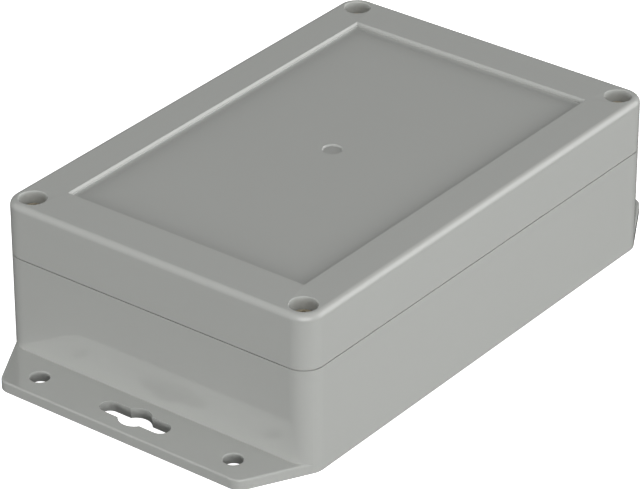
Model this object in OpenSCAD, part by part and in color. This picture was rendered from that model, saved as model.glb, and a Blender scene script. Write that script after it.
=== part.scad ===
// Plastic project box: a moulded base with two wall flanges, and a sealed lid held by four corner screws.
// Millimetres. The origin is the middle of the underside, +X runs along the box and +Z points up.

/* [Housing] */
// Length of the housing, without its flanges
body_l = 150; // [120:1:220]
// Width of the housing
body_w = 100; // [80:1:150]
// Height of the base, from its underside to the seam
base_h = 30.5; // [24:0.5:70]
// Height of the lid, from the seam to its top
lid_h = 15.5; // [13:0.5:30]
// Radius of the four upright corners
corner_r = 6; // [4:0.5:8]
// Radius along the lid's top edge
edge_r = 1.8; // [0.6:0.1:3]
// Thickness of the base's floor
floor_t = 3; // [2:0.1:5]
// Thickness of the side walls
wall_t = 3.2; // [2.6:0.1:4]
// Thickness of the lid's top, at its border
top_t = 3; // [2.4:0.1:5]

/* [Lid recess] */
// Width of the lid's raised border at the two short ends
border_end = 13.8; // [12:0.1:24]
// Width of the lid's raised border along the two long sides
border_side = 12; // [11:0.5:20]
// Depth of the flat recess for a label or keypad
recess_d = 1.1; // [0.4:0.1:1.6]
// Outer diameter of the gate mark in the middle of each moulding
gate_d = 5.6; // [3:0.1:8]
// Depth of the gate mark
gate_depth = 0.4; // [0.2:0.1:0.6]

/* [Lid screws] */
// Distance of each screw's axis from the two outer faces
screw_inset = 6; // [5.6:0.1:8]
// Diameter of the screw's thread
screw_d = 3; // [2.5:0.1:3.5]
// How far the screw reaches into its insert
thread_bite = 4.9; // [3:0.1:5.5]
// Diameter of the screw's head
head_d = 5.6; // [5:0.1:6.4]
// Height of the head's straight rim
head_rim = 1.3; // [0.8:0.1:2]
// Rise of the head's dome above its rim
head_dome = 0.8; // [0.4:0.1:1.2]
// Span of the cross recess in the head
drive_span = 2.9; // [2:0.1:3.4]
// Width of the cross recess's wings
drive_w = 0.8; // [0.5:0.1:1]
// Depth of the cross recess
drive_depth = 1.3; // [0.8:0.1:1.6]
// Diameter of the counterbore that sinks the head into the lid
sink_d = 7.3; // [6.8:0.1:8]
// Depth of that counterbore
sink_depth = 4.4; // [3.5:0.1:6]
// Diameter of the lid's clearance hole for the thread
clear_d = 3.6; // [3.6:0.1:4.2]
// Width of the small bevel round the mouths of the lid's sinks and the flanges' round holes
rim = 0.25; // [0.1:0.05:0.4]

/* [Threaded inserts] */
// Outer diameter of the insert
insert_d = 4.6; // [4.2:0.1:5]
// Length of the insert
insert_l = 6; // [4:0.5:8]
// Width of the groove round the insert's middle
insert_groove = 1.2; // [0.6:0.1:2]
// Depth of that groove
insert_groove_depth = 0.3; // [0.1:0.1:0.4]

/* [Seal] */
// Width of the lid's seal groove
groove_w = 2.2; // [1.8:0.1:2.6]
// Depth of the lid's seal groove
groove_depth = 4.2; // [3:0.1:6]
// Thickness of the lid's outer wall beside the groove
land_w = 1.7; // [1.4:0.1:2]
// Thickness of the lid's inner wall beside the groove
lip_t = 1.5; // [1:0.1:2]
// Thickness of the ledge above the groove
ledge_t = 2; // [1.5:0.1:3]
// Height of the seal's section
seal_h = 2; // [1:0.1:2.6]
// Thickness of the base's tongue that presses on the seal
tongue_t = 1.2; // [0.8:0.1:1.5]
// Height of the dark shadow line at the seam
seam_gap = 0.3; // [0.2:0.1:0.6]
// How far the shadow line reaches in
seam_in = 0.5; // [0.3:0.1:0.8]

/* [Wall flanges] */
// How far each flange stands out from the housing
flange_reach = 15; // [13:0.5:24]
// Thickness of the flanges
flange_t = 3; // [2.5:0.1:5]
// Radius of the flanges' outer corners
flange_r = 4; // [3:0.5:8]
// Slope of the flanges' side edges
flange_slope = 29; // [20:1:40]
// Radius along the flanges' top edge
flange_edge_r = 0.5; // [0.3:0.1:1]
// Distance of the fixing holes from the end wall
hole_reach = 7.5; // [5.5:0.5:9]
// Distance of the round holes from the housing's two long sides
hole_side = 18; // [12:1:30]
// Diameter of the round fixing holes
hole_d = 5.3; // [3.5:0.1:6]
// Diameter of the keyhole's middle, which a screw head passes
key_d = 8.8; // [7:0.1:10]
// Width of the keyhole's slot
slot_w = 5.2; // [3.5:0.1:6]
// Length of the keyhole's slot, end to end
slot_l = 22.2; // [16:0.1:30]

/* [Board bosses and card guides] */
// Distance of the corner bosses' axes from the outer faces
boss_inset = 15; // [14:0.5:24]
// Diameter of the bosses
boss_d = 6.5; // [5:0.1:8]
// Height of the bosses above the base's floor
boss_h = 5; // [3:0.5:10]
// Height of the bosses under the lid's top
lid_boss_h = 4; // [2:0.5:6]
// Diameter of the screw holes in the bosses
pilot_d = 2.6; // [2:0.1:3.2]
// Thickness left under those holes
boss_floor = 1; // [0.5:0.1:1.5]
// Number of card guides along each long wall
guide_count = 5; // [2:1:7]
// Distance of the outermost card guides from the housing's ends
guide_end = 35; // [22:1:45]
// Width of the slot in a card guide
guide_slot = 1.8; // [1.2:0.1:3]
// Thickness of a card guide's ribs
guide_t = 1.2; // [0.8:0.1:2]
// How far the ribs stand out from the wall
guide_out = 1.8; // [1:0.1:3]
// Distance of the ribs' tops below the seam
guide_drop = 5; // [3:0.5:12]

/* [Hidden] */
$fn = 64;

housing_grey = [0.66, 0.67, 0.65];
seal_grey = [0.2, 0.2, 0.2];
steel = [0.72, 0.7, 0.66];
brass = [0.8, 0.62, 0.3];

// A cut runs this far past the face that it opens
past = 1;
// How far a flange's sloping edge lies inside the surfaces that it joins, and how far it laps its corner
hair = 0.002;
lap = 0.1;
// The screw's running clearance in its insert, on the radius
thread_gap = 0.05;
// The seal's clearance to each side of its groove
seal_gap = 0.1;
// The tongue's clearance to the groove's outer side
tongue_gap = 0.3;

// Radius of a screw pillar, less the inset at which it is measured
pillar_r = 2;
// The inset at which the rounding between a pillar and the walls would come to a point
blend_inset = 6.2;

top_z = base_h + lid_h;
seal_z = base_h + groove_depth - seal_h;
sink_z = top_z - sink_depth;
ledge_z = base_h + groove_depth;
groove_in = land_w + groove_w;
tongue_out = land_w + tongue_gap;
screw_x = body_l / 2 - screw_inset;
screw_y = body_w / 2 - screw_inset;
screw_l = lid_h - sink_depth + thread_bite;
hole_x = body_l / 2 + hole_reach;
hole_y = body_w / 2 - hole_side;
flange_x = body_l / 2 + flange_reach;
corners = [[-1, -1], [1, -1], [1, 1], [-1, 1]];
// How far each screw's cross recess is turned
drive_turns = [20, 65, 38, 5];

// ---- Outlines ----

// A rectangle with round corners
module round_rect(length, width, radius) {
    square([length, width - 2 * radius], center = true);
    square([length - 2 * radius, width], center = true);
    for (c = corners)
        translate([c.x * (length / 2 - radius), c.y * (width / 2 - radius)])
            circle(radius);
}

// The ground that a corner pillar takes from a hollow whose walls lie at the given inset. The pillar is
// round, and a tangent arc blends it into each wall. The arcs keep their centres at every inset, so
// grooves and tongues between two insets have one width all the way round.
module pillar_ground(inset) {
    blend_r = blend_inset - inset;
    rise = blend_inset - screw_inset;
    run = sqrt(pow(pillar_r + blend_inset, 2) - pow(rise, 2));
    difference() {
        polygon([
            [-screw_inset - past, -screw_inset - past],
            [run, -screw_inset - past],
            [run, rise],
            [0, 0],
            [rise, run],
            [-screw_inset - past, run]
        ]);
        translate([run, rise]) circle(blend_r);
        translate([rise, run]) circle(blend_r);
    }
    circle(pillar_r + inset);
}

// The plan of the hollow whose walls lie at the given inset from the outer faces
module hollow_plan(inset) {
    difference() {
        square([body_l - 2 * inset, body_w - 2 * inset], center = true);
        for (c = corners)
            translate([c.x * screw_x, c.y * screw_y])
                mirror([c.x > 0 ? 1 : 0, 0])
                    mirror([0, c.y > 0 ? 1 : 0])
                        pillar_ground(inset);
    }
}

// The ring between two insets
module ring_plan(outer_inset, inner_inset) {
    difference() {
        hollow_plan(outer_inset);
        hollow_plan(inner_inset);
    }
}

// ---- Solids with a rounded top edge ----

// Half section with a quarter round at the outer top edge
module edge_section(reach, height, radius) {
    difference() {
        square([reach, height]);
        translate([reach - radius, height - radius])
            difference() {
                square(radius + past);
                circle(radius);
            }
    }
}

// A bar along X whose outer edge lies at Y = reach
module edge_bar(length, reach, height, radius) {
    rotate([90, 0, 90])
        linear_extrude(length, center = true)
            edge_section(reach, height, radius);
}

// A sector of a disc with the same edge, from +X round to the given angle
module edge_sector(reach, height, radius, angle) {
    rotate_extrude(angle = angle)
        edge_section(reach, height, radius);
}

// A block with round upright corners and a rounded top edge, standing on Z = 0
module edge_block(length, width, height, corner, radius) {
    for (side = [0, 180])
        rotate([0, 0, side]) {
            edge_bar(length - 2 * corner, width / 2, height, radius);
            rotate([0, 0, 90]) edge_bar(width - 2 * corner, length / 2, height, radius);
            translate([length / 2 - corner, width / 2 - corner])
                edge_sector(corner, height, radius, 90);
            translate([corner - length / 2, width / 2 - corner])
                rotate([0, 0, 90]) edge_sector(corner, height, radius, 90);
        }
}

// A round hole with a small bevel at its mouth, down from Z = 0
module bevelled_hole(diameter, depth) {
    translate([0, 0, -depth]) cylinder(d = diameter, h = depth + past);
    // The cone starts inside the hole, so that it crosses the hole's wall cleanly
    translate([0, 0, -rim - lap])
        cylinder(d1 = diameter - 2 * lap, d2 = diameter + 2 * (rim + past), h = rim + lap + past);
}

// ---- Base ----

// The flange at the +X end, without its holes
module flange() {
    // The sloping side edges are tangent to the housing's corners and to the flange's own corners, but for a
    // hair, so that the surfaces cross cleanly.
    step = corner_r - flange_r;
    root = [
        body_l / 2 - corner_r + step * sin(flange_slope),
        body_w / 2 - corner_r + step * cos(flange_slope)
    ];
    tip_x = flange_x - flange_r;
    fall = (tip_x - root.x) * tan(flange_slope);
    tip = [tip_x, floor((root.y - fall) / hair) * hair];
    edge_l = norm(tip - root);
    // The flat inner part ends inside the edges
    out = 0.4 * flange_r;
    along = [cos(flange_slope), -sin(flange_slope)];
    lean = out * [sin(flange_slope), cos(flange_slope)];
    // The straight outer edge
    translate([tip.x, 0])
        rotate([0, 0, -90])
            edge_bar(2 * tip.y, flange_r, flange_t, flange_edge_r);
    for (side = [0, 1])
        mirror([0, side, 0]) {
            linear_extrude(flange_t)
                polygon([
                    [root.x, -past],
                    [tip.x + out, -past],
                    [tip.x + out, tip.y + lap],
                    tip - 2 * lap * along + lean,
                    root + lean
                ]);
            // The outer corner
            translate(tip)
                edge_sector(flange_r, flange_t, flange_edge_r, 90 - flange_slope);
            // The sloping side edge, which starts a little way into the corner
            translate(tip)
                rotate([0, 0, -flange_slope])
                    translate([lap - edge_l / 2, 0])
                        edge_bar(edge_l, flange_r - hair, flange_t - hair, flange_edge_r);
        }
}

// The keyhole and the two round holes of the flange at the +X end
module flange_holes() {
    for (side = [-1, 1])
        translate([hole_x, side * hole_y, flange_t])
            bevelled_hole(hole_d, flange_t + past);
    translate([hole_x, 0, -past]) {
        cylinder(d = key_d, h = flange_t + 2 * past);
        for (side = [-1, 1])
            translate([0, side * (slot_l - slot_w) / 2])
                cylinder(d = slot_w, h = flange_t + 2 * past);
        translate([-slot_w / 2, -(slot_l - slot_w) / 2])
            cube([slot_w, slot_l - slot_w, flange_t + 2 * past]);
    }
}

// A boss for a board screw, standing on Z = 0 and rooted in the wall below
module board_boss(height, root) {
    difference() {
        translate([0, 0, -root]) cylinder(d = boss_d, h = root + height);
        translate([0, 0, boss_floor]) cylinder(d = pilot_d, h = height);
    }
}

module at_board_bosses() {
    for (x = [-1, 0, 1], y = [-1, 1])
        translate([x * (body_l / 2 - boss_inset), y * (body_w / 2 - boss_inset)])
            children();
}

// A pair of ribs on each long wall that hold the edge of an upright board. They are rooted in the wall and
// the floor.
module card_guides() {
    wall_root = wall_t / 2;
    floor_root = floor_t / 2;
    end_x = body_l / 2 - guide_end;
    pitch = 2 * end_x / (guide_count - 1);
    for (n = [0 : guide_count - 1], side = [0, 1], rib = [0, 1])
        translate([n * pitch - end_x, 0, floor_root])
            mirror([0, side, 0])
                mirror([rib, 0, 0])
                    translate([guide_slot / 2, body_w / 2 - wall_t - guide_out, 0])
                        cube([guide_t, guide_out + wall_root, base_h - guide_drop - floor_root]);
}

// The shallow round mark that the moulding gate leaves
module gate_mark() {
    cylinder(d1 = gate_d - 2 * gate_depth, d2 = gate_d, h = gate_depth);
}

module base() {
    color(housing_grey)
    difference() {
        union() {
            difference() {
                union() {
                    linear_extrude(base_h) round_rect(body_l, body_w, corner_r);
                    flange();
                    rotate([0, 0, 180]) flange();
                }
                translate([0, 0, floor_t]) linear_extrude(base_h) hollow_plan(wall_t);
                // The shadow line round the seam
                translate([0, 0, base_h - seam_gap])
                    linear_extrude(seam_gap + past)
                        difference() {
                            round_rect(body_l + 2 * past, body_w + 2 * past, corner_r + past);
                            round_rect(body_l - 2 * seam_in, body_w - 2 * seam_in, corner_r - seam_in);
                        }
            }
            translate([0, 0, base_h - seam_gap])
                linear_extrude(seal_z - base_h + seam_gap)
                    ring_plan(tongue_out, tongue_out + tongue_t);
            card_guides();
            translate([0, 0, floor_t]) at_board_bosses() board_boss(boss_h, floor_t / 2);
        }
        // Holes for the threaded inserts
        for (c = corners)
            translate([c.x * screw_x, c.y * screw_y, base_h - insert_l - past])
                cylinder(d = insert_d, h = insert_l + 2 * past);
        flange_holes();
        rotate([0, 0, 180]) flange_holes();
        mirror([0, 0, 1]) translate([0, 0, -gate_depth]) gate_mark();
    }
}

// ---- Lid ----

// The lid's moulding, less its bosses
module lid_shell() {
    difference() {
        translate([0, 0, base_h])
            edge_block(body_l, body_w, lid_h, corner_r, edge_r);
        // The hollow above the ledge, then the one inside the groove's inner wall
        translate([0, 0, ledge_z + ledge_t])
            linear_extrude(lid_h - groove_depth - ledge_t - top_t) hollow_plan(wall_t);
        translate([0, 0, base_h - past])
            linear_extrude(groove_depth + ledge_t + 2 * past) hollow_plan(groove_in + lip_t);
        // The seal groove
        translate([0, 0, base_h - past])
            linear_extrude(groove_depth + past) ring_plan(land_w, groove_in);
        // The label recess
        translate([border_end - body_l / 2, border_side - body_w / 2, top_z - recess_d])
            cube([body_l - 2 * border_end, body_w - 2 * border_side, recess_d + past]);
        translate([0, 0, top_z - recess_d - gate_depth]) gate_mark();
        // The screw holes
        for (c = corners)
            translate([c.x * screw_x, c.y * screw_y, 0]) {
                translate([0, 0, base_h - past]) cylinder(d = clear_d, h = lid_h);
                translate([0, 0, top_z]) bevelled_hole(sink_d, sink_depth);
            }
    }
}

module lid() {
    color(housing_grey) {
        lid_shell();
        translate([0, 0, top_z - top_t])
            mirror([0, 0, 1])
                at_board_bosses() board_boss(lid_boss_h, (top_t - recess_d) / 2);
    }
}

// ---- Small pieces ----

module lid_seal() {
    color(seal_grey)
    translate([0, 0, seal_z])
        linear_extrude(seal_h)
            ring_plan(land_w + seal_gap, groove_in - seal_gap);
}

// A pan head screw with its head's underside at Z = 0 and its tip pointing down
module screw() {
    head_h = head_rim + head_dome;
    dome_r = (pow(head_d / 2, 2) + pow(head_dome, 2)) / (2 * head_dome);
    difference() {
        union() {
            intersection() {
                cylinder(d = head_d, h = head_h + past);
                translate([0, 0, head_h - dome_r]) sphere(dome_r);
            }
            translate([0, 0, -screw_l]) cylinder(d = screw_d, h = screw_l);
        }
        for (turn = [0, 90])
            rotate([0, 0, turn])
                translate([-drive_span / 2, -drive_w / 2, head_h - drive_depth])
                    cube([drive_span, drive_w, drive_depth + past]);
    }
}

module lid_screw(n) {
    color(steel)
    translate([corners[n].x * screw_x, corners[n].y * screw_y, sink_z])
        rotate([0, 0, drive_turns[n]])
            screw();
}

module threaded_insert(n) {
    color(brass)
    translate([corners[n].x * screw_x, corners[n].y * screw_y, base_h - insert_l])
        difference() {
            cylinder(d = insert_d, h = insert_l);
            translate([0, 0, -past]) cylinder(d = screw_d + 2 * thread_gap, h = insert_l + 2 * past);
            translate([0, 0, (insert_l - insert_groove) / 2])
                difference() {
                    cylinder(d = insert_d + past, h = insert_groove);
                    translate([0, 0, -past])
                        cylinder(d = insert_d - 2 * insert_groove_depth, h = insert_groove + 2 * past);
                }
        }
}

base();
lid();
lid_seal();
for (n = [0 : 3])
    lid_screw(n);
for (n = [0 : 3])
    threaded_insert(n);
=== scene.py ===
"""Finishes a sealed plastic project box: its moulded housing, lid screws, threaded inserts and
lid seal, and the studio that shows them. Metres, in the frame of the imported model."""

import math

import bpy
from mathutils import Matrix, Vector


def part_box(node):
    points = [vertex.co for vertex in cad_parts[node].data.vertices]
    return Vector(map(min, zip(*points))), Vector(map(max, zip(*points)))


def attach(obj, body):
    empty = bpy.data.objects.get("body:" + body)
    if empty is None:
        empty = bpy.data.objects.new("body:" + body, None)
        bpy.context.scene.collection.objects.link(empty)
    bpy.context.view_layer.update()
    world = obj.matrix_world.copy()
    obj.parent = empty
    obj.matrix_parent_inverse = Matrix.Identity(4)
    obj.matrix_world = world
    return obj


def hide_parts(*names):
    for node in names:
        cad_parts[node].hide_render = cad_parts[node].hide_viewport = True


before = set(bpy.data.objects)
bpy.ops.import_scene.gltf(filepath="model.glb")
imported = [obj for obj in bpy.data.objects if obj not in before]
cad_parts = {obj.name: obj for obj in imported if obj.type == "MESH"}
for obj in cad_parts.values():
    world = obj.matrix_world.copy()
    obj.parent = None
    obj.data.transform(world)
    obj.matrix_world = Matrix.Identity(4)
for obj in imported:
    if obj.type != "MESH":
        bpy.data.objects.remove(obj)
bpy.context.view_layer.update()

bl_info = {
    "name": "Project Box Finish",
    "version": (1, 0, 0),
    "blender": (4, 5, 0),
    "location": "3D View > Sidebar > Project Box",
    "description": "Finishes the housing, screws, inserts and seal of a plastic project box",
    "category": "Object",
}

MM = 0.001
CORNERS = (1, 2, 3, 4)

# Distances that count as none: between doubles, and between a place and the surface that it lies on
MERGE_GAP = 0.002 * MM
PLACE_GAP = 0.02 * MM

# Depth of the gate mark in the floor of the label field
GATE_DEPTH = 0.4 * MM


# ---- Settings ----


class BoxHousingSettings(bpy.types.PropertyGroup):
    """The moulded base and lid."""

    colour: bpy.props.FloatVectorProperty(
        name="Plastic colour",
        description="Colour of the moulded plastic",
        default=(0.440, 0.448, 0.430),
        subtype="COLOR",
        min=0.0,
        max=1.0,
    )
    roughness: bpy.props.FloatProperty(
        name="Gloss roughness",
        description="Roughness of the moulded surface",
        default=0.05,
        min=0.0,
        max=1.0,
        subtype="FACTOR",
    )
    texture_depth: bpy.props.FloatProperty(
        name="Mould texture",
        description="Depth of the fine texture that the mould leaves",
        default=0.0012 * MM,
        min=0.0,
        unit="LENGTH",
        precision=6,
    )
    label_size: bpy.props.FloatVectorProperty(
        name="Label field",
        description="Length and width of the sunk field on the lid, and the height of its floor",
        default=(122.4 * MM, 76.0 * MM, 44.9 * MM),
        subtype="XYZ",
        unit="LENGTH",
    )
    mouth_bevel: bpy.props.FloatProperty(
        name="Label field bevel",
        description="Width of the bevel round the mouth of the label field",
        default=0.5 * MM,
        min=0.0,
        unit="LENGTH",
        precision=5,
    )
    label_shade: bpy.props.FloatProperty(
        name="Label field shade",
        description="How much darker the finely spark-eroded floor of the label field looks",
        default=0.02,
        min=0.0,
        max=1.0,
        subtype="FACTOR",
    )
    # Painted shade: the label field's floor is painted darker beside its walls, where their shade
    # falls, fading over the next setting's distance
    painted_corner_shade: bpy.props.FloatProperty(
        name="Corner shade",
        description="How much darker the label field's floor looks right beside its walls",
        default=0.09,
        min=0.0,
        max=1.0,
        subtype="FACTOR",
    )
    painted_shade_fade: bpy.props.FloatProperty(
        name="Corner fade",
        description="Distance from the walls over which that shade halves",
        default=3.0 * MM,
        min=0.1 * MM,
        unit="LENGTH",
    )
    # Painted shade: the floor of the shallow gate mark is painted darker, as the shade inside the
    # hollow
    painted_gate_shade: bpy.props.FloatProperty(
        name="Gate mark shade",
        description="How much darker the floor of the gate mark looks",
        default=0.07,
        min=0.0,
        max=1.0,
        subtype="FACTOR",
    )


class BoxScrewSettings(bpy.types.PropertyGroup):
    """The four lid screws."""

    colour: bpy.props.FloatVectorProperty(
        name="Screw colour",
        description="Colour of the passivated steel",
        default=(0.55, 0.47, 0.33),
        subtype="COLOR",
        min=0.0,
        max=1.0,
    )
    pitch: bpy.props.FloatProperty(
        name="Thread pitch",
        description="Distance between the thread's turns",
        default=0.5 * MM,
        min=0.2 * MM,
        unit="LENGTH",
    )
    thread_length: bpy.props.FloatProperty(
        name="Thread length",
        description="Length of the threaded end",
        default=9.5 * MM,
        min=2.0 * MM,
        unit="LENGTH",
    )


class BoxInsertSettings(bpy.types.PropertyGroup):
    """The four threaded inserts."""

    colour: bpy.props.FloatVectorProperty(
        name="Brass colour",
        description="Colour of the turned brass",
        default=(0.70, 0.50, 0.20),
        subtype="COLOR",
        min=0.0,
        max=1.0,
    )
    knurls: bpy.props.IntProperty(
        name="Knurls",
        description="Number of knurls round the insert",
        default=24,
        min=8,
    )


class BoxSealSettings(bpy.types.PropertyGroup):
    """The lid's seal."""

    colour: bpy.props.FloatVectorProperty(
        name="Seal colour",
        description="Colour of the sponge rubber",
        default=(0.028, 0.028, 0.030),
        subtype="COLOR",
        min=0.0,
        max=1.0,
    )
    edge_radius: bpy.props.FloatProperty(
        name="Edge radius",
        description="Radius along the cord's edges",
        default=0.55 * MM,
        min=0.05 * MM,
        unit="LENGTH",
    )


class BoxStageSettings(bpy.types.PropertyGroup):
    """The floor, lights and camera."""

    floor_light: bpy.props.FloatProperty(
        name="Floor light",
        description="Light that the pale floor gives off",
        default=1.0,
        min=0.0,
    )
    sky_light: bpy.props.FloatProperty(
        name="Surrounding light",
        description="Strength of the even light from all round",
        default=3.42,
        min=0.0,
    )
    lens: bpy.props.FloatProperty(
        name="Lens",
        description="Focal length of the camera in millimetres",
        default=220.61,
        min=20.0,
    )
    distance: bpy.props.FloatProperty(
        name="Camera distance",
        description="Distance of the camera from the middle of the underside",
        default=1.05465,
        min=0.1,
        unit="LENGTH",
    )
    azimuth: bpy.props.FloatProperty(
        name="Camera azimuth",
        description="Direction of the camera round the box",
        default=math.radians(-52.338),
        subtype="ANGLE",
    )
    elevation: bpy.props.FloatProperty(
        name="Camera elevation",
        description="Height of the camera above the horizon",
        default=math.radians(29.872),
        subtype="ANGLE",
    )
    roll: bpy.props.FloatProperty(
        name="Camera roll",
        description="Turn of the camera about its own axis",
        default=math.radians(-0.128),
        subtype="ANGLE",
    )
    aim: bpy.props.FloatVectorProperty(
        name="Camera aim",
        description="How far to the right and up of the middle of the underside the camera looks",
        size=2,
        default=(-3.30 * MM, 13.83 * MM),
        unit="LENGTH",
        precision=5,
    )


# ---- Shader maths ----


class Signal:
    """A value that varies over a surface. Arithmetic on it adds Math nodes."""

    def __init__(self, nodes, socket):
        self.nodes = nodes
        self.socket = socket

    def __add__(self, other):
        return self.nodes.math("ADD", self, other)

    def __radd__(self, other):
        return self.nodes.math("ADD", other, self)

    def __sub__(self, other):
        return self.nodes.math("SUBTRACT", self, other)

    def __rsub__(self, other):
        return self.nodes.math("SUBTRACT", other, self)

    def __mul__(self, other):
        return self.nodes.math("MULTIPLY", self, other)

    def __rmul__(self, other):
        return self.nodes.math("MULTIPLY", other, self)


class Nodes:
    """A node tree whose nodes are added one after another."""

    def __init__(self, tree):
        self.tree = tree

    def feed(self, socket, value):
        """Links a signal or an output to a socket, or sets the socket to a number or colour."""
        if isinstance(value, Signal):
            value = value.socket
        if isinstance(value, bpy.types.NodeSocket):
            self.tree.links.new(value, socket)
        else:
            socket.default_value = value

    def node(self, kind, settings=None, inputs=None, output=0):
        """Adds a node, sets it up and returns one of its outputs. A ramp is a list of places
        with their greys."""
        made = self.tree.nodes.new(kind)
        for name, value in (settings or {}).items():
            if name == "ramp":
                stops = made.color_ramp.elements
                for _ in value[2:]:
                    stops.new(0.5)
                for stop, (position, grey) in zip(stops, value):
                    stop.position = position
                    stop.color = (grey, grey, grey, 1.0)
            else:
                setattr(made, name, value)
        for name, value in (inputs or {}).items():
            self.feed(made.inputs[name], value)
        return Signal(self, made.outputs[output])

    def math(self, operation, *values):
        """A Math node on signals and numbers."""
        return self.node("ShaderNodeMath", {"operation": operation}, dict(enumerate(values)))


class Finish(Nodes):
    """A material with one Principled shader."""

    def __init__(self, name):
        self.material = bpy.data.materials.new(name)
        self.material.use_nodes = True
        super().__init__(self.material.node_tree)
        self.tree.nodes.clear()
        self.shader = self.tree.nodes.new("ShaderNodeBsdfPrincipled")
        output = self.tree.nodes.new("ShaderNodeOutputMaterial")
        self.feed(output.inputs["Surface"], self.shader.outputs["BSDF"])
        self.place = self.node("ShaderNodeTexCoord", output="Object")

    def axis(self, name):
        """The place on the object along one axis, in metres."""
        return self.node("ShaderNodeSeparateXYZ", {}, {"Vector": self.place}, output=name)

    def noise(self, size, detail=2.0, roughness=0.5, stretch=(1.0, 1.0, 1.0)):
        """Noise with features of the given size in metres, about 0.5 on average."""
        place = self.place
        if stretch != (1.0, 1.0, 1.0):
            place = self.node("ShaderNodeMapping", {}, {"Vector": place, "Scale": stretch})
        return self.node(
            "ShaderNodeTexNoise",
            {},
            {"Vector": place, "Scale": 1.0 / size, "Detail": detail, "Roughness": roughness},
        )

    def shaded(self, colour, amount, factor):
        """The colour, and one that is darker by the amount where the factor is 1."""
        dark = tuple(c * (1.0 - amount) for c in colour)
        # A Mix node's colours are its inputs 6 and 7 and its output 2
        return self.node(
            "ShaderNodeMix",
            {"data_type": "RGBA"},
            {"Factor": factor, 6: (*colour, 1.0), 7: (*dark, 1.0)},
            output=2,
        )

    def bump(self, height, distance):
        """A normal from a height of 0 to 1 and the depth that it stands for in metres."""
        return self.node("ShaderNodeBump", {}, {"Height": height, "Distance": distance})

    def surface(self, **inputs):
        """Feeds the shader's sockets, with spaces for the underscores in their names."""
        for name, value in inputs.items():
            self.feed(self.shader.inputs[name.replace("_", " ")], value)
        return self.material


# How much the plastic's colour and roughness vary from place to place
VARIATION = 0.02
# How much rougher the floor of the label field is
LABEL_DULLNESS = 0.06
PLASTIC_IOR = 1.85


def moulded_plastic(settings):
    """Glossy plastic, with a finer, darker and duller floor in the label field, painted shade on
    that floor beside its walls, and painted shade on the gate mark's floor.
    """
    finish = Finish("moulded_plastic")
    cloud = finish.noise(45 * MM, detail=3.0)
    grain = finish.noise(0.45 * MM, detail=3.0, roughness=0.6)
    length, width, level = settings.label_size
    inside = [
        size / 2 - finish.math("ABSOLUTE", finish.axis(axis))
        for axis, size in (("X", length), ("Y", width))
    ]
    to_wall = finish.math("MAXIMUM", finish.math("MINIMUM", *inside), 0.0)
    within = finish.math("GREATER_THAN", to_wall, 0.0)

    def floor_at(height):
        return within * finish.math("COMPARE", finish.axis("Z"), height, GATE_DEPTH / 4)

    field = floor_at(level)
    gate = floor_at(level - GATE_DEPTH)
    # The field's floor is darker for its finer finish, and painted shade darkens it further beside
    # its walls, halving over each fade distance
    painted_wall_shade = finish.math("POWER", 2.0, -1.0 / settings.painted_shade_fade * to_wall)
    label = field * (settings.label_shade + settings.painted_corner_shade * painted_wall_shade)
    # Random tone of the plastic, plus the field's darker floor with its painted wall shade, plus
    # painted shade on the gate mark's floor
    shade = VARIATION * cloud + label + settings.painted_gate_shade * gate
    variation = VARIATION * cloud + VARIATION * grain
    return finish.surface(
        Base_Color=finish.shaded(tuple(settings.colour), 1.0, shade),
        Roughness=settings.roughness - VARIATION + variation + LABEL_DULLNESS * field,
        IOR=PLASTIC_IOR,
        Normal=finish.bump(grain, settings.texture_depth),
    )


def passivated_steel(settings):
    """Steel under a thin, partly dull film of passivation."""
    finish = Finish("passivated_steel")
    stain = finish.noise(1.6 * MM, detail=4.0, roughness=0.65)
    brush = finish.noise(0.18 * MM, detail=2.0, stretch=(1.0, 1.0, 5.0))
    return finish.surface(
        Base_Color=finish.shaded(tuple(settings.colour), 0.35, stain),
        Metallic=0.6,
        Roughness=0.3 + 0.22 * stain,
        Normal=finish.bump(brush, 0.006 * MM),
    )


def turned_brass(settings):
    """Turned brass, partly dulled, with fine lines from the tool round it."""
    finish = Finish("turned_brass")
    stain = finish.noise(2.2 * MM, detail=4.0, roughness=0.6)
    lines = finish.noise(0.3 * MM, detail=2.0, stretch=(0.2, 0.2, 3.0))
    return finish.surface(
        Base_Color=finish.shaded(tuple(settings.colour), 0.35, stain),
        Metallic=0.55,
        Roughness=0.28 + 0.2 * stain,
        Normal=finish.bump(lines, 0.008 * MM),
    )


def sponge_rubber(settings):
    """Black sponge rubber with small cells and a faint bloom."""
    finish = Finish("sponge_rubber")
    cell_size = 0.35 * MM
    cells = finish.node(
        "ShaderNodeTexVoronoi", {}, {"Vector": finish.place, "Scale": 1.0 / cell_size}
    )
    bloom = finish.noise(6 * MM, detail=3.0)
    return finish.surface(
        Base_Color=finish.shaded(tuple(settings.colour), 0.35, bloom),
        Roughness=0.66 + 0.2 * bloom,
        Normal=finish.bump(cells, 0.03 * MM),
    )


def pale_floor(light):
    """A plain pale floor that gives off light."""
    finish = Finish("pale_floor")
    mottle = finish.noise(300 * MM, detail=2.0)
    return finish.surface(
        Base_Color=finish.shaded((0.8, 0.8, 0.8), 0.02, mottle),
        Roughness=0.6,
        Emission_Color=(1.0, 1.0, 1.0, 1.0),
        Emission_Strength=light,
    )


# ---- Modelling helpers ----


def clear_selection():
    """Leaves edit mode and deselects everything."""
    if bpy.context.object is not None and bpy.context.object.mode != "OBJECT":
        bpy.ops.object.mode_set(mode="OBJECT")
    bpy.ops.object.select_all(action="DESELECT")


def choose(piece):
    """Selects one piece alone and makes it active."""
    clear_selection()
    piece.select_set(True)
    bpy.context.view_layer.objects.active = piece


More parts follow.
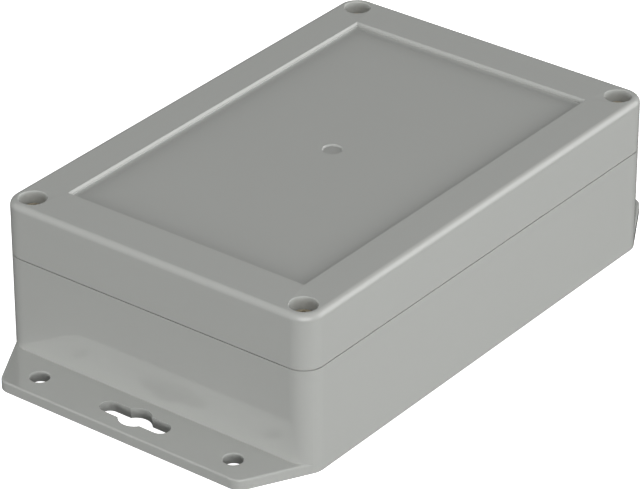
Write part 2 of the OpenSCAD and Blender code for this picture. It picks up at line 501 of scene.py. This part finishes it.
def pick(piece, kind, test):
    """In edit mode, selects the vertices or faces whose middle passes the test."""
    bpy.ops.object.mode_set(mode="EDIT")
    bpy.ops.mesh.select_mode(type={"vertices": "VERT", "polygons": "FACE"}[kind])
    bpy.ops.mesh.select_all(action="DESELECT")
    bpy.ops.object.mode_set(mode="OBJECT")
    for item in getattr(piece.data, kind):
        item.select = bool(test(item.co if kind == "vertices" else item.center))
    bpy.ops.object.mode_set(mode="EDIT")


def drawn_line(name, points):
    """A mesh of one open line through points of radius and height, in the X-Z plane."""
    clear_selection()
    bpy.ops.mesh.primitive_plane_add(size=MM, location=(0, 0, 0))
    line = bpy.context.object
    line.name = line.data.name = name
    bpy.ops.object.mode_set(mode="EDIT")
    bpy.ops.mesh.select_mode(type="VERT")
    bpy.ops.mesh.merge(type="CENTER")
    last = (0.0, 0.0)
    for n, (radius, height) in enumerate(points):
        step = (radius - last[0], 0.0, height - last[1])
        if n:
            bpy.ops.mesh.extrude_region_move(TRANSFORM_OT_translate={"value": step})
        else:
            bpy.ops.transform.translate(value=step)
        last = (radius, height)
    bpy.ops.object.mode_set(mode="OBJECT")
    return line


def tidy_shell(piece):
    """Merges doubles and turns the faces outwards."""
    choose(piece)
    bpy.ops.object.mode_set(mode="EDIT")
    bpy.ops.mesh.select_all(action="SELECT")
    bpy.ops.mesh.remove_doubles(threshold=MERGE_GAP)
    bpy.ops.mesh.normals_make_consistent(inside=False)
    bpy.ops.object.mode_set(mode="OBJECT")
    return piece


def turned(name, points, steps):
    """A turned piece about the Z axis from its half section."""
    piece = drawn_line(name, points)
    bpy.ops.object.mode_set(mode="EDIT")
    bpy.ops.mesh.select_all(action="SELECT")
    bpy.ops.mesh.spin(steps=steps, angle=2 * math.pi, center=(0, 0, 0), axis=(0, 0, 1))
    bpy.ops.object.mode_set(mode="OBJECT")
    return tidy_shell(piece)


def modified(piece, kind, **settings):
    """Adds a modifier and applies it."""
    choose(piece)
    modifier = piece.modifiers.new(kind.lower(), kind)
    for name, value in settings.items():
        setattr(modifier, name, value)
    bpy.ops.object.modifier_apply(modifier=modifier.name)
    return piece


def cut(piece, tool, operation="DIFFERENCE"):
    """Cuts a piece with a tool, which is used up."""
    modified(piece, "BOOLEAN", object=tool, operation=operation, solver="EXACT")
    bpy.data.objects.remove(tool)
    return piece


def joined(name, pieces):
    """Joins pieces into the first one."""
    clear_selection()
    for piece in pieces:
        piece.select_set(True)
    bpy.context.view_layer.objects.active = pieces[0]
    bpy.ops.object.join()
    pieces[0].name = pieces[0].data.name = name
    return pieces[0]


def settled(piece, place, turn=0.0):
    """Moves a finished mesh to its place, and leaves its object at the origin."""
    piece.data.transform(Matrix.Translation(place) @ Matrix.Rotation(turn, 4, "Z"))
    return piece


def copied(piece, name):
    """A copy of a piece with its own mesh."""
    twin = piece.copy()
    twin.data = piece.data.copy()
    twin.name = twin.data.name = name
    bpy.context.scene.collection.objects.link(twin)
    return twin


def copied_node(node, name):
    """A free copy of a node's mesh, merged."""
    piece = copied(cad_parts[node], name)
    piece.parent = None
    # The copy drops the properties that mark a node
    for key in list(piece.keys()):
        del piece[key]
    return tidy_shell(piece)


def smoothed(piece, angle):
    """Shades a piece smooth, apart from edges sharper than an angle in degrees."""
    choose(piece)
    bpy.ops.object.shade_smooth_by_angle(angle=math.radians(angle))
    return piece


def dressed(piece, material, body, slot, *nodes):
    """Gives a new piece its finish and its body, and hides the nodes that it stands for."""
    piece.data.materials.clear()
    piece.data.materials.append(material)
    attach(piece, body)
    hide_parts(*nodes)
    return piece


# ---- The pieces ----


class BOX_OT_housing(bpy.types.Operator):
    """Give the moulded base and lid their plastic"""

    bl_idname = "project_box.housing"
    bl_label = "Housing"

    def execute(self, context):
        settings = context.scene.box_housing
        material = moulded_plastic(settings)
        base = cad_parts["base"]
        base.data.materials.clear()
        base.data.materials.append(material)
        lid = copied_node("lid", "moulded_lid")
        self.ease_mouth(lid, settings)
        # Wide enough for the 45 degree rims to look rounded
        smoothed(lid, 50)
        self.keep_crisp(lid, settings)
        modified(lid, "WEIGHTED_NORMAL", mode="FACE_AREA", keep_sharp=True)
        dressed(lid, material, "lid", "housing", "lid")
        return {"FINISHED"}

    def in_field(self, co, settings, reach):
        """Whether a point lies in the label field, or past its walls by no more than the reach."""
        length, width, level = settings.label_size
        past = max(abs(co.x) - length / 2, abs(co.y) - width / 2)
        return co.z > level - 1.5 * GATE_DEPTH and past < reach + PLACE_GAP

    def ease_mouth(self, piece, settings):
        """Cuts the bevel round the mouth of the label field."""
        floor_top = settings.label_size[2] + 0.3 * MM
        pick(piece, "vertices", lambda co: co.z > floor_top and self.in_field(co, settings, 0))
        bpy.ops.mesh.bevel(
            offset=settings.mouth_bevel, segments=1, affect="EDGES", clamp_overlap=False
        )
        bpy.ops.object.mode_set(mode="OBJECT")

    def keep_crisp(self, piece, settings):
        """Keeps the lid's lower rim and the bevels of the label field and gate mark crisp."""
        rim_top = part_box("lid")[0].z + 0.4 * MM
        bpy.ops.object.mode_set(mode="EDIT")
        bpy.ops.mesh.select_all(action="DESELECT")
        bpy.ops.mesh.select_mode(type="EDGE")
        bpy.ops.mesh.edges_select_sharp(sharpness=math.radians(30))
        bpy.ops.object.mode_set(mode="OBJECT")
        for edge in piece.data.edges:
            ends = [piece.data.vertices[v].co for v in edge.vertices]
            on_rim = all(end.z < rim_top for end in ends)
            at_label = all(self.in_field(end, settings, settings.mouth_bevel) for end in ends)
            if edge.select and (on_rim or at_label):
                edge.use_edge_sharp = True


class BOX_OT_screws(bpy.types.Operator):
    """Model the four lid screws, with their thread and cross recess"""

    bl_idname = "project_box.screws"
    bl_label = "Lid screws"

    def execute(self, context):
        settings = context.scene.box_screws
        material = passivated_steel(settings)
        low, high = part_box("lid_screw_1")
        head_r = (high.x - low.x) / 2
        head_h = 2.1 * MM
        length = high.z - low.z - head_h
        screw = self.make_screw(settings, head_r, head_h, length)
        # No two screws are driven home at the same angle
        for corner, turn in zip(CORNERS, (20, 65, 38, 5)):
            low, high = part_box(f"lid_screw_{corner}")
            place = Vector(((low.x + high.x) / 2, (low.y + high.y) / 2, high.z - head_h))
            twin = copied(screw, f"pan_head_screw_{corner}")
            settled(twin, place, math.radians(turn))
            dressed(twin, material, f"screw_{corner}", "screw", f"lid_screw_{corner}")
        bpy.data.objects.remove(screw)
        return {"FINISHED"}

    def make_screw(self, settings, head_r, head_h, length):
        """A pan head with its cross recess, on a plain shank over the thread."""
        rim = 1.3 * MM
        rise = head_h - rim
        dome_r = (head_r**2 + rise**2) / (2 * rise)
        core_r = 1.22 * MM
        crest_r = 1.49 * MM
        half = math.asin(head_r / dome_r)
        arcs = 9
        angles = [half * k / arcs for k in range(arcs + 1)]
        dome = [(dome_r * math.sin(a), head_h - dome_r * (1 - math.cos(a))) for a in angles]
        edge_r = 0.22 * MM
        edge = [
            (head_r, rim - 0.1 * MM),
            (head_r, edge_r),
            (head_r - 0.07 * MM, 0.07 * MM),
            (head_r - edge_r, 0),
        ]
        shank_r = 1.32 * MM
        thread_top = settings.thread_length - length
        neck_end = thread_top - 0.4 * MM
        shank = [
            (shank_r + 0.04 * MM, 0),
            (shank_r, -0.1 * MM),
            (shank_r, thread_top - 0.1 * MM),
            (1.1 * MM, neck_end),
            (0, neck_end),
        ]
        head = turned("screw_head", dome + edge + shank, 64)
        thread = self.make_thread(settings.pitch, core_r, crest_r, settings.thread_length, length)
        for turn in (0, 90):
            head = cut(head, self.make_wing(head_h, turn))
        point = [
            (0, head_h - 1.3 * MM),
            (0.62 * MM, head_h - 0.95 * MM),
            (0.8 * MM, head_h + MM),
            (0, head_h + MM),
        ]
        head = cut(head, turned("drive_point", point, 32))
        return smoothed(joined("pan_head_screw", [head, thread]), 32)

    def make_wing(self, head_h, turn):
        """One bar of the cross recess, narrower and shorter towards its bottom."""
        clear_selection()
        bpy.ops.mesh.primitive_cube_add(size=1, location=(0, 0, 0))
        wing = bpy.context.object
        length, width, height = 2.9 * MM, 0.8 * MM, 2.0 * MM
        wing.data.transform(Matrix.Diagonal((length, width, height, 1)))
        pick(wing, "vertices", lambda co: co.z < 0)
        bpy.ops.transform.resize(value=(0.42, 0.6, 1.0))
        bpy.ops.object.mode_set(mode="OBJECT")
        return settled(wing, (0, 0, head_h - 0.3 * MM), math.radians(turn))

    def make_thread(self, pitch, core_r, crest_r, run, length):
        """A thread from its section of one pitch, trimmed to length with a bevelled tip."""
        crest_flat = root_flat = 0.12 * pitch
        section = [
            (core_r, 0),
            (core_r, root_flat),
            (crest_r, (pitch - crest_flat) / 2),
            (crest_r, (pitch + crest_flat) / 2),
            (core_r, pitch),
        ]
        turns = math.ceil(run / pitch) + 3
        thread = drawn_line("thread", section)
        modified(
            thread,
            "SCREW",
            screw_offset=pitch,
            angle=2 * math.pi,
            iterations=turns,
            steps=40,
            render_steps=40,
            use_merge_vertices=True,
            merge_threshold=MERGE_GAP,
        )
        choose(thread)
        thread.data.transform(Matrix.Translation((0, 0, -length - pitch)))
        for height, upwards in ((run - length, True), (-length, False)):
            bpy.ops.object.mode_set(mode="EDIT")
            bpy.ops.mesh.select_all(action="SELECT")
            bpy.ops.mesh.bisect(
                plane_co=(0, 0, height),
                plane_no=(0, 0, 1),
                use_fill=True,
                clear_outer=upwards,
                clear_inner=not upwards,
            )
            bpy.ops.object.mode_set(mode="OBJECT")
        tidy_shell(thread)
        chamfer = crest_r - core_r + 0.1 * MM
        spare = 0.2 * MM
        top = MM - length + run
        outline = [
            (0, top),
            (crest_r + spare, top),
            (crest_r + spare, chamfer + spare - length),
            (crest_r - chamfer, -length),
            (0, -length),
        ]
        return cut(thread, turned("envelope", outline, 40), "INTERSECT")


class BOX_OT_inserts(bpy.types.Operator):
    """Model the four knurled inserts that take the lid screws"""

    bl_idname = "project_box.inserts"
    bl_label = "Threaded inserts"

    def execute(self, context):
        settings = context.scene.box_inserts
        material = turned_brass(settings)
        low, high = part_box("threaded_insert_1")
        insert = self.make_insert(settings, (high.x - low.x) / 2, high.z - low.z)
        for corner in CORNERS:
            low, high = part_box(f"threaded_insert_{corner}")
            twin = copied(insert, f"knurled_insert_{corner}")
            settled(twin, Vector(((low.x + high.x) / 2, (low.y + high.y) / 2, low.z)))
            dressed(twin, material, "base", "insert", f"threaded_insert_{corner}")
        bpy.data.objects.remove(insert)
        return {"FINISHED"}

    def make_insert(self, settings, radius, length):
        """A bush with a groove between two knurled bands."""
        bore_r = 1.56 * MM
        groove = 1.2 * MM
        waist = radius - 0.3 * MM
        ease = 0.15 * MM
        low_band = (length - groove) / 2
        high_band = (length + groove) / 2
        insert = turned(
            "knurled_insert",
            [
                (bore_r, 0.3 * MM),
                (bore_r + 0.25 * MM, 0),
                (radius - ease, 0),
                (radius, ease),
                (radius, low_band),
                (waist, low_band),
                (waist, high_band),
                (radius, high_band),
                (radius, length - ease),
                (radius - ease, length),
                (bore_r + 0.3 * MM, length),
                (bore_r, length - 0.3 * MM),
                (bore_r, 0.3 * MM),
            ],
            2 * settings.knurls,
        )
        step = math.pi / settings.knurls

        def between_knurls(middle):
            turn = math.atan2(middle.y, middle.x) / step
            out = math.hypot(middle.x, middle.y) > radius * math.cos(step / 2) - PLACE_GAP
            return out and int(math.floor(turn)) % 2 == 0

        choose(insert)
        pick(insert, "polygons", between_knurls)
        bpy.ops.mesh.inset(thickness=0.05 * MM, use_individual=True)
        bpy.ops.transform.shrink_fatten(value=-0.13 * MM)
        bpy.ops.object.mode_set(mode="OBJECT")
        return smoothed(insert, 25)


class BOX_OT_seal(bpy.types.Operator):
    """Round the lid's rubber seal"""

    bl_idname = "project_box.seal"
    bl_label = "Lid seal"

    def execute(self, context):
        settings = context.scene.box_seal
        seal = copied_node("lid_seal", "seal_cord")
        # Flat faces become one face each, so that only real edges are rounded
        bpy.ops.object.mode_set(mode="EDIT")
        bpy.ops.mesh.select_all(action="SELECT")
        bpy.ops.mesh.dissolve_limited(angle_limit=math.radians(1.0))
        bpy.ops.object.mode_set(mode="OBJECT")
        modified(
            seal,
            "BEVEL",
            width=settings.edge_radius,
            segments=4,
            limit_method="ANGLE",
            angle_limit=math.radians(50),
        )
        smoothed(seal, 40)
        dressed(seal, sponge_rubber(settings), "lid", "seal", "lid_seal")
        return {"FINISHED"}


# Softboxes: name, azimuth and elevation in degrees, distance in metres, shape, size in metres,
# power in watts, and whether it only shows in the gloss or only lights the box
SOFTBOXES = (
    ("low_key_softbox", -6, 12, 3.2, "RECTANGLE", (2.0, 2.0), 30.5, False),
    ("key_softbox", -6, 35, 3.2, "RECTANGLE", (2.0, 2.0), 12.8, False),
    ("front_softbox", -45, 50, 3.2, "RECTANGLE", (2.0, 2.0), 20.0, False),
    ("right_softbox", 62, 25, 3.2, "RECTANGLE", (2.0, 2.0), 16.9, False),
    ("right_gloss", 47, 19, 1.6, "RECTANGLE", (1.49, 1.29), 6.5, True),
    ("front_gloss", -50, 25, 1.6, "ELLIPSE", (1.85, 1.70), 11.2, True),
    ("back_gloss", 222, 40, 1.8, "RECTANGLE", (2.5, 2.5), 7.4, True),
)

# The surrounding light: height, from 0 straight down to 1 straight up, and brightness
SKY_BAND = ((0.49, 0.0), (0.5, 1.0), (0.61, 1.0), (0.64, 0.09))


def outwards(azimuth, elevation):
    """The direction from the box towards a lamp or the camera. Azimuth 0 is its front."""
    level = math.cos(elevation)
    return Vector((math.sin(azimuth) * level, -math.cos(azimuth) * level, math.sin(elevation)))


class BOX_OT_stage(bpy.types.Operator):
    """Set up the pale floor, the soft lights and the camera"""

    bl_idname = "project_box.stage"
    bl_label = "Stage"

    def execute(self, context):
        settings = context.scene.box_stage
        clear_selection()
        bpy.ops.mesh.primitive_plane_add(size=12, location=(0, 0, -0.05 * MM))
        floor = context.object
        floor.name = "floor"
        floor.data.materials.append(pale_floor(settings.floor_light))
        # The floor shows white, but neither lights the box nor shows in its gloss
        floor.visible_diffuse = floor.visible_glossy = False
        self.add_world(context, settings)
        for lamp in SOFTBOXES:
            self.add_softbox(context, *lamp)
        self.add_camera(context, settings)
        context.scene.view_settings.view_transform = "Standard"
        return {"FINISHED"}

    def add_world(self, context, settings):
        """A band of light over the horizon, weak light from above and none from below."""
        world = bpy.data.worlds.new("surroundings")
        world.use_nodes = True
        nodes = Nodes(world.node_tree)
        place = nodes.node("ShaderNodeTexCoord", output="Generated")
        height = nodes.node("ShaderNodeSeparateXYZ", {}, {"Vector": place}, output="Z")
        upwards = nodes.node("ShaderNodeMapRange", {}, {"Value": height, "From Min": -1.0})
        band = nodes.node("ShaderNodeValToRGB", {"ramp": SKY_BAND}, {"Fac": upwards})
        background = world.node_tree.nodes["Background"]
        nodes.feed(background.inputs["Color"], band)
        nodes.feed(background.inputs["Strength"], settings.sky_light)
        context.scene.world = world
        world.cycles_visibility.glossy = False

    def add_softbox(self, context, name, azimuth, elevation, distance, shape, size, power, gloss):
        away = outwards(math.radians(azimuth), math.radians(elevation))
        data = bpy.data.lights.new(name, "AREA")
        data.shape = shape
        data.size, data.size_y = size
        data.energy = power
        lamp = bpy.data.objects.new(name, data)
        lamp.location = away * distance
        lamp.rotation_mode = "QUATERNION"
        lamp.rotation_quaternion = away.to_track_quat("Z", "Y")
        lamp.visible_diffuse = not gloss
        lamp.visible_glossy = gloss
        context.scene.collection.objects.link(lamp)

    def add_camera(self, context, settings):
        back = outwards(settings.azimuth, settings.elevation)
        right = Vector((math.cos(settings.azimuth), math.sin(settings.azimuth), 0))
        up = back.cross(right)
        data = bpy.data.cameras.new("camera")
        data.lens = settings.lens
        data.sensor_width = 36.0
        data.clip_start, data.clip_end = 0.05, 30.0
        camera = bpy.data.objects.new("camera", data)
        middle = settings.aim[0] * right + settings.aim[1] * up
        turn = Matrix((right, up, back)).transposed().to_4x4()
        camera.matrix_world = (
            Matrix.Translation(back * settings.distance + middle)
            @ turn
            @ Matrix.Rotation(settings.roll, 4, "Z")
        )
        context.scene.collection.objects.link(camera)
        context.scene.camera = camera


class BOX_PT_panel(bpy.types.Panel):
    """The steps that finish the box"""

    bl_label = "Project Box"
    bl_idname = "BOX_PT_panel"
    bl_space_type = "VIEW_3D"
    bl_region_type = "UI"
    bl_category = "Project Box"

    def draw(self, context):
        for group, operator in STEPS:
            box = self.layout.box()
            settings = getattr(context.scene, group)
            for name in settings.__annotations__:
                box.prop(settings, name)
            box.operator(operator)


STEPS = (
    ("box_housing", "project_box.housing"),
    ("box_screws", "project_box.screws"),
    ("box_inserts", "project_box.inserts"),
    ("box_seal", "project_box.seal"),
    ("box_stage", "project_box.stage"),
)

GROUPS = {
    "box_housing": BoxHousingSettings,
    "box_screws": BoxScrewSettings,
    "box_inserts": BoxInsertSettings,
    "box_seal": BoxSealSettings,
    "box_stage": BoxStageSettings,
}

CLASSES = (
    *GROUPS.values(),
    BOX_OT_housing,
    BOX_OT_screws,
    BOX_OT_inserts,
    BOX_OT_seal,
    BOX_OT_stage,
    BOX_PT_panel,
)


def register():
    for cls in CLASSES:
        bpy.utils.register_class(cls)
    for name, group in GROUPS.items():
        setattr(bpy.types.Scene, name, bpy.props.PointerProperty(type=group))


def unregister():
    for name in GROUPS:
        delattr(bpy.types.Scene, name)
    for cls in reversed(CLASSES):
        bpy.utils.unregister_class(cls)


def main():
    register()
    bpy.ops.project_box.housing()
    bpy.ops.project_box.screws()
    bpy.ops.project_box.inserts()
    bpy.ops.project_box.seal()
    bpy.ops.project_box.stage()
    clear_selection()
    bpy.context.view_layer.update()


if __name__ == "__main__":
    main()
